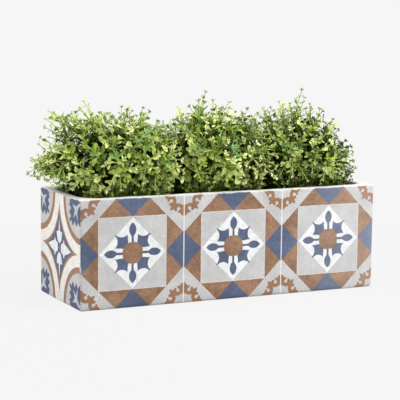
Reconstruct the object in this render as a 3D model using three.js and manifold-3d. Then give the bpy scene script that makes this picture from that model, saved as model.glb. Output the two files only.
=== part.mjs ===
// A rectangular cast planter, 600 mm long, holding three potted box plants.
// Millimetres, +Z up. The origin is the middle of the base, on the surface that the trough stands on.
// X runs along the trough and the front is at -Y.
import * as THREE from 'three';
import { mergeVertices } from 'three/addons/utils/BufferGeometryUtils.js';
import Module from 'manifold-3d';

const wasm = await Module();
wasm.setup();

// Trough
const troughLength = 600;
const troughDepth = 200;
const troughHeight = 198;
const wallThickness = 15;
const floorThickness = 20;
const outerCornerRadius = 4;
const innerCornerRadius = 35;
const bottomEdgeRadius = 6;
const rimEdgeRadius = 3;
const floorFilletRadius = 8;
const cornerSteps = 5;
const edgeSteps = 3;

// Underside of the trough: a raised land round two shallow pockets
const landWidth = 26;
const middleLandWidth = 60;
const pocketDepth = 3;
const pocketCornerRadius = 12;

// Drain holes and their rubber plugs
const drainSpacing = 190;
const drainRadius = 9;
const plugClearance = 0.3;
const plugFlangeRadius = 15;
const plugFlangeThickness = 4;
const plugTipTaper = 1.5;
const plugRecess = 2;
const plugGripRadius = 3.5;
const plugGripHeight = 9;
const plugSides = 16;

// Nursery pots
const potSpacing = 190;
const potHeight = 134;
const potTopRadius = 71;
const potBaseRadius = 52;
const potWall = 1.2;
const potRimOverhang = 3;
const potRimHeight = 10;
const potFootRadius = 38;
const potFootHeight = 3;
const potHoleRadius = 5;
const potHoleCount = 6;
const potHoleSides = 8;
const potSides = 20;

// Root balls
const rootBallClearance = 0.3;
const soilBelowRim = 9;
const soilCrownRise = 4;
const rootSocketRadius = 24;
const rootSocketDepth = 16;
const rootCrownClearance = 0.3;
const rootCrownSides = 12;

// Plants: each crown of leaves is a rounded body around a middle just above the rim
const crownMiddleAboveRim = 42;
const crownUnderside = 78;
const crownHalfDepth = 112;
const crownFill = 0.76;
const crownLumpHeight = 0.05;
const crownLumpTurns = 6;
const crownDetail = 3;
const neighbourGap = 4;
const rimClearance = 2;
const sproutsPerPlant = 16;
const sproutLowestAngle = 84;
const sproutReach = 0.94;
const sproutReachSpread = 0.12;
const stemRadius = 1.4;
const stemSteps = 3;
const stemSides = 3;
const whorlLeaves = [4, 3];
const whorlSpacing = 13;
const leafLength = 13;
const leafWidth = 7;
const leafRootThickness = 2;
const leafLift = 0.55;

// Each crown's spread, rise, squareness and dense share are for its left and right side. Leaders are the tips of
// its tallest shoots
const plants = [
  {
    place: 'left',
    spread: [158, 106],
    rise: [114, 98],
    squareness: [3.4, 2.8],
    dense: [0.76, 0.86],
    lumpTurn: -0.9,
    leaders: [
      [-322, -10, 352], [-302, 18, 344], [-276, -20, 347], [-252, 0, 366], [-166, 10, 346], [-142, -8, 352],
      [-346, 5, 264], [-336, -30, 296],
    ],
  },
  {
    place: 'middle',
    spread: [106, 106],
    rise: [112, 110],
    squareness: [2.6, 2.6],
    dense: [0.86, 0.86],
    lumpTurn: 2,
    leaders: [[-60, 10, 345], [-38, -10, 350], [-12, 0, 377], [34, -5, 358], [76, 0, 343]],
  },
  {
    place: 'right',
    spread: [106, 118],
    rise: [124, 80],
    squareness: [3.2, 2.3],
    dense: [0.86, 0.78],
    lumpTurn: 0.7,
    leaders: [
      [114, 5, 343], [140, -10, 357], [170, 5, 352], [194, 0, 377], [214, 0, 356], [256, 10, 318], [296, 5, 282],
    ],
  },
];

const goldenAngle = Math.PI * (3 - Math.sqrt(5));
const floorTop = floorThickness;
const rimTop = troughHeight;
const potRimTop = floorTop + potHeight;
const soilTop = potRimTop - soilBelowRim;
const leafReach = leafLength + rimClearance;

const finishes = {
  cement: { color: 0xd6d5d0, roughness: 0.85, metalness: 0 },
  rubber: { color: 0x2b2b2c, roughness: 0.7, metalness: 0 },
  pot: { color: 0x33312f, roughness: 0.55, metalness: 0 },
  soil: { color: 0x3a2a1e, roughness: 1, metalness: 0 },
  leaves: { color: 0x6f8f38, roughness: 0.5, metalness: 0 },
};

// A repeatable number from 0 to 1 for each whole number and each use
function scatter(index, use) {
  const wave = Math.sin(index * 127.1 + use * 311.7) * 43758.5453;
  return wave - Math.floor(wave);
}

// Solids for cutting and joining

function toSolid(geometry) {
  const bare = geometry.clone();
  bare.deleteAttribute('normal');
  bare.deleteAttribute('uv');
  const merged = mergeVertices(bare, 1e-4);
  return new wasm.Manifold(new wasm.Mesh({
    numProp: 3,
    vertProperties: new Float32Array(merged.getAttribute('position').array),
    triVerts: new Uint32Array(merged.getIndex().array),
  }));
}

function toGeometry(solid) {
  const mesh = solid.getMesh();
  const geometry = new THREE.BufferGeometry();
  geometry.setAttribute('position', new THREE.BufferAttribute(new Float32Array(mesh.vertProperties), 3));
  geometry.setIndex(new THREE.BufferAttribute(new Uint32Array(mesh.triVerts), 1));
  return geometry;
}

// A corner-rounded rectangle as points, counter-clockwise, with the same number of points at any radius
function roundedRing(length, depth, radius, z) {
  const points = [];
  const corners = [[1, 1, 0], [-1, 1, 1], [-1, -1, 2], [1, -1, 3]];
  for (const [sideX, sideY, quarter] of corners) {
    for (let step = 0; step <= cornerSteps; step += 1) {
      const angle = (quarter + step / cornerSteps) * Math.PI / 2;
      points.push(new THREE.Vector3(
        sideX * (length / 2 - radius) + radius * Math.cos(angle),
        sideY * (depth / 2 - radius) + radius * Math.sin(angle),
        z,
      ));
    }
  }
  return points;
}

// A skin over a row of rings with equal point counts, closed at both ends by a fan to the ring's middle
function loft(rings) {
  const count = rings[0].length;
  const positions = [];
  const index = [];
  for (const ring of rings) {
    for (const point of ring) {
      positions.push(point.x, point.y, point.z);
    }
  }
  for (let row = 0; row + 1 < rings.length; row += 1) {
    for (let i = 0; i < count; i += 1) {
      const next = (i + 1) % count;
      const a = row * count + i;
      const b = row * count + next;
      const c = (row + 1) * count + next;
      const d = (row + 1) * count + i;
      index.push(a, b, c, a, c, d);
    }
  }
  const ends = [rings[0], rings[rings.length - 1]];
  ends.forEach((ring, end) => {
    const middle = positions.length / 3;
    const centre = ring.reduce((sum, point) => sum.add(point), new THREE.Vector3()).divideScalar(count);
    positions.push(centre.x, centre.y, centre.z);
    const first = end === 0 ? 0 : (rings.length - 1) * count;
    for (let i = 0; i < count; i += 1) {
      const next = (i + 1) % count;
      if (end === 0) {
        index.push(middle, first + next, first + i);
      } else {
        index.push(middle, first + i, first + next);
      }
    }
  });
  const geometry = new THREE.BufferGeometry();
  geometry.setAttribute('position', new THREE.Float32BufferAttribute(positions, 3));
  geometry.setIndex(index);
  return geometry;
}

function upright(geometry) {
  return geometry.rotateX(Math.PI / 2);
}

function cylinderBetween(radius, bottom, top, x, y, sides) {
  const geometry = upright(new THREE.CylinderGeometry(radius, radius, top - bottom, sides));
  return geometry.translate(x, y, (bottom + top) / 2);
}

function latheUpright(profile, sides) {
  return upright(new THREE.LatheGeometry(profile.map(([radius, z]) => new THREE.Vector2(radius, z)), sides));
}

// The trough

function troughRings() {
  const rings = [];
  const outer = (inset, z) => {
    rings.push(roundedRing(
      troughLength - 2 * inset,
      troughDepth - 2 * inset,
      Math.max(outerCornerRadius - inset, 1),
      z,
    ));
  };
  const inner = (inset, z) => {
    rings.push(roundedRing(
      troughLength - 2 * (wallThickness + inset),
      troughDepth - 2 * (wallThickness + inset),
      innerCornerRadius - inset,
      z,
    ));
  };
  for (let step = 0; step <= edgeSteps; step += 1) {
    const angle = step / edgeSteps * Math.PI / 2;
    outer(bottomEdgeRadius * (1 - Math.sin(angle)), bottomEdgeRadius * (1 - Math.cos(angle)));
  }
  for (let step = 0; step <= edgeSteps; step += 1) {
    const angle = step / edgeSteps * Math.PI / 2;
    outer(rimEdgeRadius * (1 - Math.cos(angle)), rimTop - rimEdgeRadius * (1 - Math.sin(angle)));
  }
  for (let step = 0; step <= edgeSteps; step += 1) {
    const angle = step / edgeSteps * Math.PI / 2;
    inner(-rimEdgeRadius * (1 - Math.sin(angle)), rimTop - rimEdgeRadius * (1 - Math.cos(angle)));
  }
  for (let step = 0; step <= edgeSteps; step += 1) {
    const angle = step / edgeSteps * Math.PI / 2;
    inner(floorFilletRadius * (1 - Math.cos(angle)), floorTop + floorFilletRadius * (1 - Math.sin(angle)));
  }
  return rings;
}

function undersidePocket(side) {
  const length = troughLength / 2 - landWidth - middleLandWidth / 2;
  const depth = troughDepth - 2 * landWidth;
  const middleX = side * (middleLandWidth / 2 + length / 2);
  const rings = [-1, pocketDepth].map((z) => roundedRing(length, depth, pocketCornerRadius, z));
  return loft(rings).translate(middleX, 0, 0);
}

function planterShell() {
  let shell = toSolid(loft(troughRings()));
  for (const side of [-1, 1]) {
    shell = shell.subtract(toSolid(undersidePocket(side)));
    const drain = cylinderBetween(drainRadius, -1, floorTop + 1, side * drainSpacing / 2, 0, plugSides);
    shell = shell.subtract(toSolid(drain));
  }
  return toGeometry(shell);
}

// A bung: a flange on the floor, a tapered stem in the hole and a grip to pull it by
function drainPlug() {
  const stemRadiusAtFlange = drainRadius - plugClearance;
  return latheUpright([
    [0, pocketDepth + plugRecess],
    [stemRadiusAtFlange - plugTipTaper, pocketDepth + plugRecess],
    [stemRadiusAtFlange, pocketDepth + plugRecess + 3 * plugTipTaper],
    [stemRadiusAtFlange, floorTop],
    [plugFlangeRadius, floorTop],
    [plugFlangeRadius, floorTop + plugFlangeThickness - 1],
    [plugFlangeRadius - 1, floorTop + plugFlangeThickness],
    [plugGripRadius + 1.5, floorTop + plugFlangeThickness],
    [plugGripRadius, floorTop + plugFlangeThickness + 1.5],
    [plugGripRadius, floorTop + plugGripHeight],
    [plugGripRadius + 1.5, floorTop + plugGripHeight + 1],
    [plugGripRadius + 1, floorTop + plugGripHeight + 3.5],
    [0, floorTop + plugGripHeight + 4],
  ], plugSides);
}

// Outer radius of the pot's wall at a height above its base
function potRadiusAt(height) {
  return potBaseRadius + (potTopRadius - potBaseRadius) * height / potHeight;
}

function nurseryPot() {
  const rimBottom = potHeight - potRimHeight;
  const body = latheUpright([
    [0, potFootHeight],
    [potFootRadius - 2, potFootHeight],
    [potFootRadius, 0],
    [potBaseRadius, 0],
    [potRadiusAt(rimBottom), rimBottom],
    [potRadiusAt(rimBottom) + potRimOverhang, rimBottom],
    [potTopRadius + potRimOverhang, potHeight - 1],
    [potTopRadius + potRimOverhang - 1, potHeight],
    [potTopRadius - potWall, potHeight],
    [potRadiusAt(potWall) - potWall, potWall],
    [potFootRadius + potWall, potWall],
    [potFootRadius - 2 + potWall, potFootHeight + potWall],
    [0, potFootHeight + potWall],
  ], potSides);
  let pot = toSolid(body);
  for (let i = 0; i < potHoleCount; i += 1) {
    const angle = (i + 0.5) / potHoleCount * 2 * Math.PI;
    const reach = potBaseRadius;
    const hole = new THREE.CylinderGeometry(potHoleRadius, potHoleRadius, 16, potHoleSides);
    hole.rotateZ(Math.PI / 2);
    hole.translate(reach, 0, potHoleRadius + 2);
    hole.rotateZ(angle);
    pot = pot.subtract(toSolid(hole));
  }
  return toGeometry(pot).translate(0, 0, floorTop);
}

function rootBall() {
  const bottom = potFootHeight + potWall + rootBallClearance;
  const top = potHeight - soilBelowRim;
  const gap = potWall + rootBallClearance;
  return latheUpright([
    [0, bottom],
    [potRadiusAt(bottom) - gap - 3, bottom],
    [potRadiusAt(bottom + 4) - gap, bottom + 4],
    [potRadiusAt(top - 3) - gap, top - 3],
    [potRadiusAt(top) - gap - 4, top],
    [(potTopRadius + rootSocketRadius) / 2, top + soilCrownRise],
    [rootSocketRadius, top + soilCrownRise],
    [rootSocketRadius, top - rootSocketDepth],
    [0, top - rootSocketDepth],
  ], potSides).translate(0, 0, floorTop);
}

// The plants

// The crown's lumpy surface in one direction from its middle, or a share of the way to it
function crownPoint(plant, direction, share) {
  const side = (direction.x + 1) / 2;
  const spread = direction.x < 0 ? plant.spread[0] : plant.spread[1];
  const rise = direction.z < 0 ? crownUnderside : THREE.MathUtils.lerp(plant.rise[0], plant.rise[1], side);
  const power = THREE.MathUtils.lerp(plant.squareness[0], plant.squareness[1], side);
  const bulge = [direction.x, direction.y, direction.z]
    .reduce((sum, part) => sum + Math.abs(part) ** power, 0) ** (-1 / power);
  const wave = [plant.lumpTurn, 1, 2]
    .reduce((sum, start, axis) => sum + Math.sin(direction.getComponent(axis) * crownLumpTurns + start), 0);
  const reach = bulge * share * (1 + crownLumpHeight * wave);
  return new THREE.Vector3(
    plant.x + direction.x * spread * reach,
    direction.y * crownHalfDepth * reach,
    plant.middleZ + direction.z * rise * reach,
  );
}

// The space that a crown may fill: its own stretch of the trough, inside the walls or above the rim
function crownSpace(plant) {
  const low = plant.limitLow;
  const high = plant.limitHigh;
  const above = troughHeight;
  const aboveRim = new THREE.BoxGeometry(high - low, troughDepth * 2, above);
  aboveRim.translate((low + high) / 2, 0, rimTop + rimClearance + above / 2);
  const insideLow = Math.max(low, -troughLength / 2 + wallThickness + rimClearance);
  const insideHigh = Math.min(high, troughLength / 2 - wallThickness - rimClearance);
  const insideDepth = troughDepth - 2 * (wallThickness + rimClearance);
  const bottom = potRimTop + rimClearance;
  const inside = new THREE.BoxGeometry(insideHigh - insideLow, insideDepth, above);
  inside.translate((insideLow + insideHigh) / 2, 0, bottom + above / 2);
  return toSolid(aboveRim).add(toSolid(inside));
}

function crownBody(plant) {
  const ball = new THREE.IcosahedronGeometry(1, crownDetail);
  const position = ball.getAttribute('position');
  const direction = new THREE.Vector3();
  for (let i = 0; i < position.count; i += 1) {
    direction.fromBufferAttribute(position, i).normalize();
    const point = crownPoint(plant, direction, crownFill);
    const dense = direction.x < 0 ? plant.dense[0] : plant.dense[1];
    position.setXYZ(i, THREE.MathUtils.lerp(plant.x, point.x, dense / crownFill), point.y, point.z);
  }
  return toSolid(ball).intersect(crownSpace(plant));
}

// The root crown: a tapered neck from the leaves down into the root ball's socket
function rootCrown(plant) {
  const bottom = soilTop - rootSocketDepth + rootCrownClearance;
  const radius = rootSocketRadius - rootCrownClearance;
  return latheUpright([
    [0, bottom],
    [radius - 3, bottom],
    [radius, bottom + 4],
    [radius, soilTop + soilCrownRise],
    [radius + 6, plant.middleZ],
    [0, plant.middleZ],
  ], rootCrownSides).translate(plant.x, 0, 0);
}

// One shoot as a curve that rises out of the crown's middle and bends out to its tip
function shootCurve(plant, tip) {
  const start = new THREE.Vector3(plant.x + (tip.x - plant.x) * 0.3, tip.y * 0.3, plant.middleZ + 10);
  const bend = new THREE.Vector3(
    plant.x + (tip.x - plant.x) * 0.62,
    tip.y * 0.62,
    plant.middleZ + 10 + (tip.z - plant.middleZ) * 0.7 + 12,
  );
  return new THREE.QuadraticBezierCurve3(start, bend, tip);
}

function stem(curve) {
  const outline = new THREE.Shape();
  for (let i = 0; i < stemSides; i += 1) {
    const angle = i / stemSides * 2 * Math.PI;
    const x = stemRadius * Math.cos(angle);
    const y = stemRadius * Math.sin(angle);
    if (i === 0) {
      outline.moveTo(x, y);
    } else {
      outline.lineTo(x, y);
    }
  }
  return new THREE.ExtrudeGeometry(outline, { extrudePath: curve, steps: stemSteps });
}

// One leaf: a wedge that is thick at the stem and ends in a thin, broad tip, lifted towards the shoot's end
function leaf(centre, along, turn) {
  const halfTip = leafWidth / 2 / leafLength;
  const corners = [[0, 0, leafRootThickness / 2], [0, 0, -leafRootThickness / 2]];
  for (const side of [-1, 1]) {
    const angle = turn + side * halfTip;
    corners.push([leafLength * Math.cos(angle), leafLength * Math.sin(angle), leafLength * leafLift]);
  }
  const geometry = new THREE.BufferGeometry();
  geometry.setAttribute('position', new THREE.Float32BufferAttribute(corners.flat(), 3));
  geometry.setIndex([0, 2, 3, 1, 3, 2, 0, 1, 2, 1, 0, 3]);
  geometry.applyQuaternion(new THREE.Quaternion().setFromUnitVectors(new THREE.Vector3(0, 0, 1), along));
  return geometry.translate(centre.x, centre.y, centre.z);
}

// True where a whorl clears its neighbours' stretch and the trough's wall
function hasRoom(plant, point) {
  const inStretch = point.x - leafLength > plant.limitLow && point.x + leafLength < plant.limitHigh;
  return inStretch && point.z - leafReach > rimTop;
}

function plantTips(plant) {
  const tips = plant.leaders.map(([x, y, z]) => new THREE.Vector3(x, y, z));
  const lowest = Math.cos(THREE.MathUtils.degToRad(sproutLowestAngle));
  for (let i = 0; i < sproutsPerPlant; i += 1) {
    const rise = 1 - (i + 0.5) / sproutsPerPlant * (1 - lowest);
    const sideways = Math.sqrt(1 - rise * rise);
    const turn = i * goldenAngle + plant.x;
    const direction = new THREE.Vector3(sideways * Math.cos(turn), sideways * Math.sin(turn), rise);
    const share = sproutReach - sproutReachSpread * scatter(i, plant.x);
    const point = crownPoint(plant, direction, share);
    point.x = THREE.MathUtils.clamp(point.x, plant.limitLow + leafReach, plant.limitHigh - leafReach);
    tips.push(point);
  }
  return tips;
}

function boxPlant(plant) {
  let solid = crownBody(plant).add(toSolid(rootCrown(plant)));
  plantTips(plant).forEach((tip, number) => {
    if (!hasRoom(plant, tip)) {
      return;
    }
    const curve = shootCurve(plant, tip);
    solid = solid.add(toSolid(stem(curve)));
    const lastKnee = curve.getPointAt(1 - 1 / stemSteps);
    const along = tip.clone().sub(lastKnee).normalize();
    whorlLeaves.forEach((leafCount, row) => {
      const centre = tip.clone().addScaledVector(along, -stemRadius - row * whorlSpacing);
      if (!hasRoom(plant, centre)) {
        return;
      }
      for (let i = 0; i < leafCount; i += 1) {
        const turn = (i / leafCount + row / 8) * 2 * Math.PI + scatter(number, 5) * Math.PI;
        solid = solid.add(toSolid(leaf(centre, along, turn)));
      }
    });
  });
  return toGeometry(solid);
}

// Assembly

const planter = new THREE.Group();

function addPiece(name, geometry, finish, x = 0) {
  const mesh = new THREE.Mesh(geometry, new THREE.MeshStandardMaterial(finishes[finish]));
  mesh.name = name;
  mesh.position.set(x, 0, 0);
  planter.add(mesh);
}

addPiece('planter_shell', planterShell(), 'cement');
addPiece('drain_plug_left', drainPlug(), 'rubber', -drainSpacing / 2);
addPiece('drain_plug_right', drainPlug(), 'rubber', drainSpacing / 2);
plants.forEach((plant, number) => {
  plant.x = (number - 1) * potSpacing;
  plant.middleZ = rimTop + crownMiddleAboveRim;
  const half = potSpacing / 2 - neighbourGap / 2;
  plant.limitLow = number === 0 ? plant.x - plant.spread[0] * 2 : plant.x - half;
  plant.limitHigh = number === plants.length - 1 ? plant.x + plant.spread[1] * 2 : plant.x + half;
  addPiece(`nursery_pot_${plant.place}`, nurseryPot(), 'pot', plant.x);
  addPiece(`root_ball_${plant.place}`, rootBall(), 'soil', plant.x);
  addPiece(`plant_${plant.place}`, boxPlant(plant), 'leaves');
});

export default planter;
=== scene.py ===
"""Looks for a printed cement planter that holds three potted box plants.

Metres, in the part's own frame: X runs along the trough, the front is at -Y and Z is up from the ground.
"""
import math
from functools import partialmethod

import bmesh
import bpy
from mathutils import Matrix, Vector, noise


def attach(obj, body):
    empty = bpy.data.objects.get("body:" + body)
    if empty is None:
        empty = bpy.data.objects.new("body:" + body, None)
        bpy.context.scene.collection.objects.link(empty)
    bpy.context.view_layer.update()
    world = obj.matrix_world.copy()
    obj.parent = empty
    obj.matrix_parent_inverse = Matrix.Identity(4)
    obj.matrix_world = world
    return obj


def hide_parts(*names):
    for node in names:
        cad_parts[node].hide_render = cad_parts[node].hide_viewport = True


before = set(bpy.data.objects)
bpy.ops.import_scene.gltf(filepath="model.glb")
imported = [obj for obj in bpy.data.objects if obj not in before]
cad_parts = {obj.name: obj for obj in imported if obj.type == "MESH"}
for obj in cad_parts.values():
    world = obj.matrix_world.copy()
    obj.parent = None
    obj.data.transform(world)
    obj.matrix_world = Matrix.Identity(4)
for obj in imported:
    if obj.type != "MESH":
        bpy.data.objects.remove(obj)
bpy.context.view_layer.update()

# Trough. Its corners and rim are a little rounder than the solids', to look as soft as cast cement does
TROUGH_LENGTH = 0.6
TROUGH_DEPTH = 0.2
TROUGH_HEIGHT = 0.198
WALL = 0.015
FLOOR = 0.02
OUTER_CORNER = 0.0055
INNER_CORNER = 0.035
BOTTOM_EDGE = 0.006
RIM_EDGE = 0.0036
FLOOR_FILLET = 0.008
LONG_SIDE_STEPS = 56
SHORT_SIDE_STEPS = 18
CORNER_STEPS = 8
EDGE_STEPS = 5
WALL_STEPS = 18
HAND_CAST_WAVE = 0.0004
HAND_CAST_SEED = 1
TILE_PRINT_WIDTH = 0.1968
PRINT_HEIGHT = 0.1956
LAND = 0.026
MIDDLE_LAND = 0.06
POCKET_DEPTH = 0.003
POCKET_CORNER = 0.012
POCKET_EDGE = 0.001
CUTTER_REACH = 0.01
CUT_SHARP_ANGLE = 35

# The print, which wraps a little way round the trough's edges and stops short of its rim and base
TILE = TROUGH_LENGTH / 3
PRINT_WRAP = 0.0032
PRINT_TOP = TROUGH_HEIGHT - 0.0018
PRINT_BOTTOM = 0.0012
PRINT_SHAKE = 0.0012
PRINT_TOP_SHAKE = 0.004
PRINT_EDGE = 0.0006
JOINT_HALF_WIDTH = 0.0011

# Drain holes and plugs. The plug's top is radius and height above the floor
DRAIN_SPACING = 0.19
DRAIN_RADIUS = 0.009
DRAIN_WEAR = 0.0008
PLUG_CLEARANCE = 0.0003
PLUG_RECESS = 0.002
PLUG_SIDES = 48
PLUG_TOP = (
    (0.0146, 0), (0.015, 0.0004), (0.015, 0.003), (0.0147, 0.0037), (0.014, 0.004), (0.0135, 0.0037),
    (0.0065, 0.0037), (0.0052, 0.004), (0.004, 0.0048), (0.0035, 0.006), (0.0035, 0.009), (0.0046, 0.0095),
    (0.005, 0.0103), (0.005, 0.0115), (0.0043, 0.0125), (0.003, 0.013), (0, 0.013),
)

# Pots and what fills them
POT_SPACING = 0.19
POT_HEIGHT = 0.134
POT_TOP_RADIUS = 0.071
POT_BASE_RADIUS = 0.052
POT_WALL = 0.0012
POT_RIM_OVERHANG = 0.003
POT_SIDES = 96
POT_RING_HEIGHT = 0.088
POT_HOLES = 6
POT_HOLE_RADIUS = 0.005
POT_HOLE_HEIGHT = 0.007
POT_HOLE_REACH = 0.008
SOIL_TOP = 0.145
SOIL_CLEARANCE = 0.0003
SOIL_RISE = 0.003
SOIL_LUMP = 0.0022
SOIL_SIDES = 72

# Plants. Their crowns have the solids' sizes, but stand closer and meet along a line that strays sideways
CROWN_MIDDLE = 0.24
CROWN_UNDERSIDE = 0.078
CROWN_HALF_DEPTH = 0.112
CROWN_LUMP = 0.05
CROWN_LUMP_TURNS = 6
NEIGHBOUR_GAP = 0.002
MEETING_WANDER = 0.006
MEETING_TURNS = 48
MEETING_DEPTH = 0.108
TIP_MARGIN = 0.005
RIM_CLEARANCE = 0.002
BRANCHES = 40
BRANCH_STEPS = 9
TWIG_STEPS = 6
BRANCH_THICKNESS = (1.0, 0.6)
TWIG_THICKNESS = (0.6, 0.34)
FOOT_HEIGHT = SOIL_TOP - 0.004
TWIGS = 215
INNER_TWIGS = 140
LEADER_COMPANIONS = 2
MEETING_TWIGS = 26
MEETING_HEIGHT = 0.315
SKIRT_SHOOTS = 150
SKIRT_MARGIN = 0.008
SKIRT_FOOT_REACH = 0.05
SKIRT_HEIGHT = 0.197
SKIRT_SPREAD = 0.032
LOWEST_TWIG = -0.5
LEAF_LENGTH = 0.0195
LEAF_WIDTH = 0.0096
LEAF_THICKNESS = 0.0005
LEAF_DROOP = 0.003
LEAF_FOLD = 0.28
SMALLEST_LEAF = 0.17
LEAF_RIM_GAP = 0.003
LEAFY_LENGTH = 0.095
TIP_LEAVES = 5
STEM_RADIUS = 0.0021
STEM_SIDES = 5

# Spread, rise and squareness of a crown are for its left and right side. Leaders are its tallest shoots' tips
PLANTS = {
    "left": {
        "spread": (0.158, 0.106),
        "rise": (0.114, 0.098),
        "squareness": (3.4, 2.8),
        "lump_turn": -0.9,
        "leaf_size": 0.95,
        "leaf_spacing": 0.013,
        "leaders": (
            (-0.322, -0.010, 0.345), (-0.302, 0.018, 0.337), (-0.276, -0.020, 0.340), (-0.252, 0.000, 0.359),
            (-0.166, 0.010, 0.339), (-0.142, -0.008, 0.345), (-0.346, 0.005, 0.257), (-0.336, -0.030, 0.289),
        ),
    },
    "middle": {
        "spread": (0.106, 0.106),
        "rise": (0.112, 0.110),
        "squareness": (2.6, 2.6),
        "lump_turn": 2.0,
        "leaf_size": 1.0,
        "leaf_spacing": 0.013,
        "leaders": (
            (-0.060, 0.010, 0.338), (-0.038, -0.010, 0.343), (-0.012, 0.000, 0.370), (0.034, -0.005, 0.351),
            (0.076, 0.000, 0.336),
        ),
    },
    "right": {
        "spread": (0.106, 0.118),
        "rise": (0.124, 0.080),
        "squareness": (3.2, 2.3),
        "lump_turn": 0.7,
        "leaf_size": 0.84,
        "leaf_spacing": 0.0122,
        "leaders": (
            (0.114, 0.005, 0.336), (0.140, -0.010, 0.350), (0.170, 0.005, 0.345), (0.194, 0.000, 0.370),
            (0.212, 0.000, 0.343), (0.254, 0.010, 0.304), (0.296, 0.005, 0.270),
        ),
    },
}

GOLDEN_ANGLE = math.pi * (3 - math.sqrt(5))


def screen(red, green, blue):
    """A colour as it is read on a screen, 0 to 255, turned into the linear one that shaders take."""
    shares = [channel / 255 for channel in (red, green, blue)]
    linear = [s / 12.92 if s <= 0.04045 else ((s + 0.055) / 1.055) ** 2.4 for s in shares]
    return (*linear, 1)


BACKGROUND = screen(246, 246, 246)
BARE_CEMENT = screen(216, 214, 211)
TILE_WHITE = screen(230, 231, 231)
CREAM = screen(233, 228, 224)
BROWN = screen(152, 119, 92)
TERRACOTTA = screen(150, 111, 82)
BLUE = screen(85, 95, 121)
# The dark green that painted shade mixes leaves and stems towards, deep in the crowns
PAINTED_SHADE_GREEN = screen(24, 40, 0)

# Studio. Each lamp has a name, a place, the height it aims at over the trough's middle, a width and a power
FLOOR_HALF_WIDTH = 12
SKY_STRENGTH = 0.28
LAMPS = (
    ("key_light", (1.45, -1.6, 1.7), 0.15, 1.2, 59),
    ("side_light", (-2.7, 0.2, 1.4), 0.15, 1.4, 49),
    ("top_light", (0.2, -0.3, 2.4), 0.1, 1.4, 40),
)

# The photograph's view, with angles in degrees
CAMERA_PLACE = (-1.253, -2.5168, 0.5632)
CAMERA_TURN = -26.103
CAMERA_DROP = 7.966
CAMERA_ROLL = 0.676
CAMERA_LENS = 136.2
CAMERA_SENSOR = 36


# Fields and surfaces: small helpers that write node trees


def add_node(tree, kind, inputs=(), **settings):
    """A node with its settings, and its inputs linked to sockets or set to values."""
    node = tree.nodes.new(kind)
    for name, value in settings.items():
        setattr(node, name, value)
    for key, value in dict(inputs).items():
        plug_in(tree, value, node.inputs[key])
    return node


def plug_in(tree, value, socket):
    """Links a field or a socket to a socket, or sets a plain value on it."""
    if isinstance(value, Field):
        tree.links.new(value.socket, socket)
    elif isinstance(value, bpy.types.NodeSocket):
        tree.links.new(value, socket)
    elif socket.type == "VECTOR":
        socket.default_value = value[:3]
    else:
        socket.default_value = value


def split(tree, vector):
    """A vector's three parts as fields."""
    return [Field(tree, socket) for socket in add_node(tree, "ShaderNodeSeparateXYZ", {0: vector}).outputs]


class Field:
    """A number that varies over a shape. Sums with it write Math nodes."""

    def __init__(self, tree, socket):
        self.tree = tree
        self.socket = socket

    def math(self, operation, *others, clamp=False):
        node = self.tree.nodes.new("ShaderNodeMath")
        node.operation = operation
        node.use_clamp = clamp
        for socket, value in zip(node.inputs, (self, *others)):
            plug_in(self.tree, value, socket)
        return Field(self.tree, node.outputs[0])

    __add__ = __radd__ = partialmethod(math, "ADD")
    __sub__ = partialmethod(math, "SUBTRACT")
    __rsub__ = partialmethod(math, "MULTIPLY_ADD", -1.0)
    __mul__ = partialmethod(math, "MULTIPLY")
    __truediv__ = partialmethod(math, "DIVIDE")
    __neg__ = partialmethod(math, "MULTIPLY", -1.0)
    __abs__ = partialmethod(math, "ABSOLUTE")
    most = partialmethod(math, "MAXIMUM")
    least = partialmethod(math, "MINIMUM")
    fraction = partialmethod(math, "FRACT")
    above = partialmethod(math, "GREATER_THAN")

    def between(self, low, high):
        """0 at low and below, 1 at high and above, and even between them."""
        return self.math("MULTIPLY_ADD", 1 / (high - low), -low / (high - low), clamp=True)

    def inside(self, edge=0.0025):
        """1 where a distance is below nothing, 0 outside, with a narrow even edge."""
        return self.math("MULTIPLY_ADD", -1 / edge, 0.5, clamp=True)

    def from_point(self, other, x, y):
        """Distance of the point (self, other) from (x, y)."""
        across = self - x
        up = other - y
        return (across * across + up * up).math("SQRT")

    def profile(self, points, width, height):
        """A height read from a line through points, over a width that starts at nothing."""
        node = self.tree.nodes.new("ShaderNodeFloatCurve")
        plug_in(self.tree, self * (1 / width), node.inputs["Value"])
        line = node.mapping.curves[0].points
        for _ in points[2:]:
            line.new(0.5, 0.5)
        for handle, (x, y) in zip(line, points):
            handle.location = (x / width, y / height)
            handle.handle_type = "VECTOR"
        node.mapping.update()
        return Field(self.tree, node.outputs[0]) * height


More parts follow.
